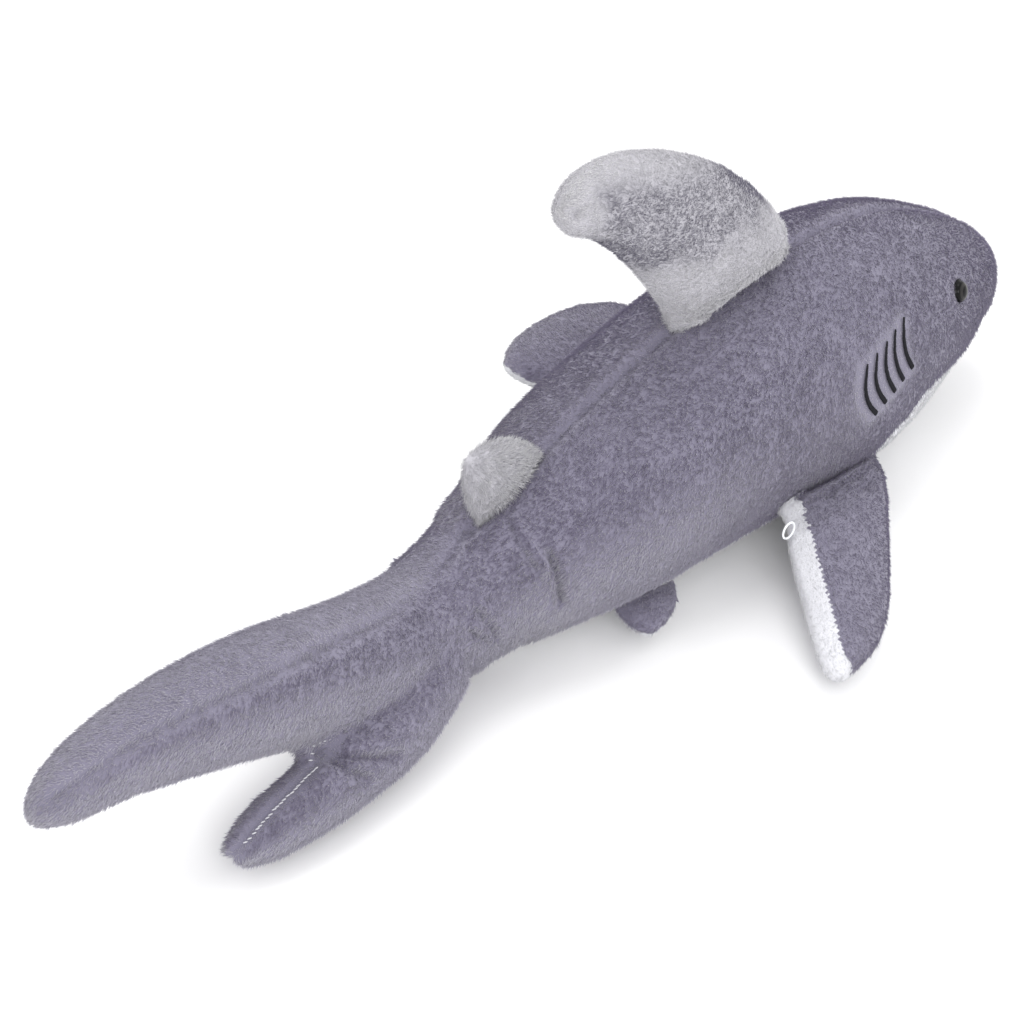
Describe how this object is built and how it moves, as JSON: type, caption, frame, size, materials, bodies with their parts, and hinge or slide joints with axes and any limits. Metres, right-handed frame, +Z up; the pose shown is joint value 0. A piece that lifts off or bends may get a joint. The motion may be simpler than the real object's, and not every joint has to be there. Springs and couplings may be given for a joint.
{
  "type": "plush shark",
  "caption": "Stuffed plush shark lying on its belly: sewn grey and white pile panels over filling, soft fins and tail lobes, button eyes and stitched gill slits.",
  "frame": {"origin": "on the surface the belly rests on, under the middle of the overall box", "axes": "+Z up, +X along the body towards the nose, the shark's right side at -Y"},
  "size_m": [0.52, 0.2299, 0.1907],
  "materials": {
    "grey_plush": "short brushed pile, purplish grey",
    "pale_plush": "short brushed pile, silver grey",
    "white_plush": "short brushed pile, white",
    "filling": "polyester fibre filling",
    "black_thread": "satin stitched thread",
    "grey_thread": "hand sewing thread",
    "eye_plastic": "moulded gloss",
    "washer_plastic": "moulded",
    "nylon": "clear nylon"
  },
  "bodies": {
    "torso": {"right_flank_panel": "grey_plush", "left_flank_panel": "grey_plush", "belly_panel": "white_plush", "torso_stuffing": "filling", "right_eye": "eye_plastic", "right_eye_washer": "washer_plastic", "right_gill_stitch_1": "black_thread", "right_gill_stitch_2": "black_thread", "right_gill_stitch_3": "black_thread", "right_gill_stitch_4": "black_thread", "right_gill_stitch_5": "black_thread", "left_eye": "eye_plastic", "left_eye_washer": "washer_plastic", "left_gill_stitch_1": "black_thread", "left_gill_stitch_2": "black_thread", "left_gill_stitch_3": "black_thread", "left_gill_stitch_4": "black_thread", "left_gill_stitch_5": "black_thread", "mouth_stitch": "black_thread"},
    "tail": {"tail_right_panel": "grey_plush", "tail_left_panel": "grey_plush", "tail_stuffing": "filling", "lower_lobe_right_panel": "grey_plush", "lower_lobe_left_panel": "grey_plush", "lower_lobe_stuffing": "filling", "closing_seam": "grey_thread"},
    "dorsal_fin": {"dorsal_right_panel": "pale_plush", "dorsal_left_panel": "pale_plush", "dorsal_stuffing": "filling"},
    "second_dorsal_fin": {"second_dorsal_right_panel": "pale_plush", "second_dorsal_left_panel": "pale_plush"},
    "right_pectoral_fin": {"right_pectoral_top_panel": "grey_plush", "right_pectoral_under_panel": "white_plush", "right_pectoral_stuffing": "filling", "tag_loop": "nylon"},
    "left_pectoral_fin": {"left_pectoral_top_panel": "grey_plush", "left_pectoral_under_panel": "white_plush", "left_pectoral_stuffing": "filling"},
    "right_pelvic_fin": {"right_pelvic_top_panel": "grey_plush", "right_pelvic_under_panel": "white_plush"},
    "left_pelvic_fin": {"left_pelvic_top_panel": "grey_plush", "left_pelvic_under_panel": "white_plush"}
  },
  "joints": [
    {"name": "tail_bend", "type": "hinge", "parent": "torso", "child": "tail", "pos_m": [-0.08, 0, 0.034], "axis": [0, 0, 1], "range_deg": [-28, 28], "stiffness_Nm_per_rad": 0.12},
    {"name": "dorsal_flop", "type": "hinge", "parent": "torso", "child": "dorsal_fin", "pos_m": [0.057, 0, 0.102], "axis": [0.9923, 0, 0.124], "range_deg": [-30, 30], "stiffness_Nm_per_rad": 0.06},
    {"name": "second_dorsal_flop", "type": "hinge", "parent": "torso", "child": "second_dorsal_fin", "pos_m": [-0.051, 0, 0.0686], "axis": [0.9317, 0, 0.3633], "range_deg": [-35, 35], "stiffness_Nm_per_rad": 0.01},
    {"name": "right_pectoral_flap", "type": "hinge", "parent": "torso", "child": "right_pectoral_fin", "pos_m": [0.088, -0.046, 0.0262], "axis": [0.9835, 0.0878, -0.1581], "range_deg": [-17, 3], "stiffness_Nm_per_rad": 0.06},
    {"name": "left_pectoral_flap", "type": "hinge", "parent": "torso", "child": "left_pectoral_fin", "pos_m": [0.088, 0.046, 0.025], "axis": [0.9835, -0.0878, -0.1581], "range_deg": [-25, 12], "stiffness_Nm_per_rad": 0.06},
    {"name": "right_pelvic_flap", "type": "hinge", "parent": "torso", "child": "right_pelvic_fin", "pos_m": [-0.006, -0.0314, 0.014], "axis": [0.9899, -0.1386, -0.0297], "range_deg": [-25, 15], "stiffness_Nm_per_rad": 0.01},
    {"name": "left_pelvic_flap", "type": "hinge", "parent": "torso", "child": "left_pelvic_fin", "pos_m": [-0.006, 0.0314, 0.014], "axis": [0.9899, 0.1386, -0.0297], "range_deg": [-15, 25], "stiffness_Nm_per_rad": 0.01}
  ]
}
